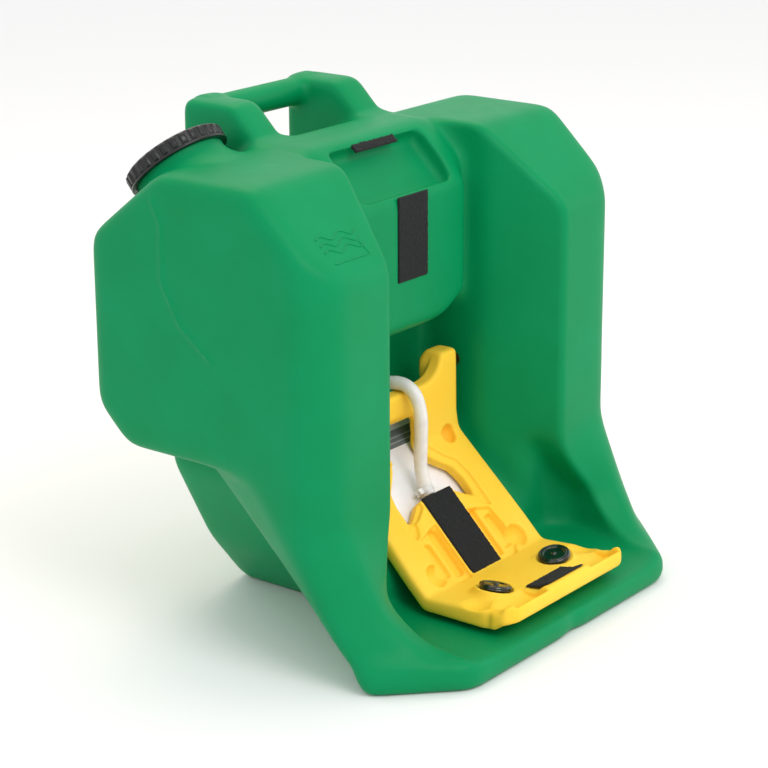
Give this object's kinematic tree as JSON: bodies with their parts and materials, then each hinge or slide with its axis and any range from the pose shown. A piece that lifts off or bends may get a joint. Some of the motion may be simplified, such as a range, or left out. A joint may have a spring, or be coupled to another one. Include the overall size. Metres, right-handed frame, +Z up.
{
  "type": "portable eyewash station",
  "caption": "Portable gravity-fed eyewash station: hollow moulded water tank with a carrying handle and a fold-down arm with capped nozzles.",
  "frame": {"origin": "centre of the footprint, on the surface the station stands on", "axes": "+Z up, -Y towards the user (front), +X to the right seen from the front"},
  "size_m": [0.572, 0.4667, 0.576],
  "materials": {
    "tank_plastic": "satin moulded polyethylene",
    "arm_plastic": "satin moulded polyethylene",
    "black_plastic": "moulded",
    "gloss_black": "polished moulding",
    "grey_plastic": "moulded",
    "black_rubber": "moulded",
    "brass": "turned brass",
    "steel": "stainless",
    "foam": "open foam",
    "silicone": "translucent silicone",
    "hook_loop": "hook and loop pile",
    "label": "laminated label",
    "label_dark": "laminated label"
  },
  "bodies": {
    "tank": {"tank_wing_left": "tank_plastic", "tank_wing_right": "tank_plastic", "tank_leg_left": "tank_plastic", "tank_leg_right": "tank_plastic", "tank_middle": "tank_plastic", "tank_basin": "tank_plastic", "tank_handle": "tank_plastic", "tank_neck": "tank_plastic", "outlet_insert": "brass", "outlet_fitting": "grey_plastic", "outlet_oring": "black_rubber", "hinge_insert_left": "brass", "hinge_insert_right": "brass", "supply_tube": "silicone", "tube_clamp_upper": "steel", "nose_strip": "hook_loop", "top_strip": "hook_loop", "instruction_label": "label", "lower_label": "label_dark"},
    "gasket": {"cap_gasket": "black_rubber"},
    "cap": {"fill_cap": "black_plastic", "cap_vent": "grey_plastic"},
    "arm": {"activation_arm": "arm_plastic", "hinge_pin_left": "steel", "hinge_pin_right": "steel", "inlet_manifold": "grey_plastic", "manifold_seal": "black_rubber", "manifold_cover": "black_plastic", "manifold_screws": "steel", "nozzle_cup_left": "grey_plastic", "nozzle_cup_right": "grey_plastic", "flow_disc_left": "grey_plastic", "flow_disc_right": "grey_plastic", "strainer_left": "foam", "strainer_right": "foam", "tube_clamp_lower": "steel", "arm_strip": "hook_loop", "lip_strip": "hook_loop"},
    "dust_left": {"dust_cap_left": "gloss_black"},
    "dust_right": {"dust_cap_right": "gloss_black"}
  },
  "joints": [
    {"name": "arm_fold", "type": "hinge", "parent": "tank", "child": "arm", "pos_m": [0, 0.036, 0.245], "axis": [1, 0, 0], "range_deg": [-135, 0], "deforming": ["supply_tube"]},
    {"name": "cap_lift", "type": "slide", "parent": "tank", "child": "gasket", "axis": [0, 0.6483, 0.7614], "range_m": [0, 0.012]},
    {"name": "cap_turn", "type": "hinge", "parent": "gasket", "child": "cap", "pos_m": [-0.19, 0.16655, 0.50288], "axis": [0, 0.6483, 0.7614], "range_deg": [0, 720]},
    {"name": "dust_left_lift", "type": "slide", "parent": "arm", "child": "dust_left", "axis": [0.2419, 0, 0.9703], "range_m": [0, 0.003]},
    {"name": "dust_right_lift", "type": "slide", "parent": "arm", "child": "dust_right", "axis": [-0.2419, 0, 0.9703], "range_m": [0, 0.003]}
  ],
  "couplings": [
    {"joint": "cap_lift", "follows": "cap_turn", "m_per_rad": 0.00095493}
  ]
}
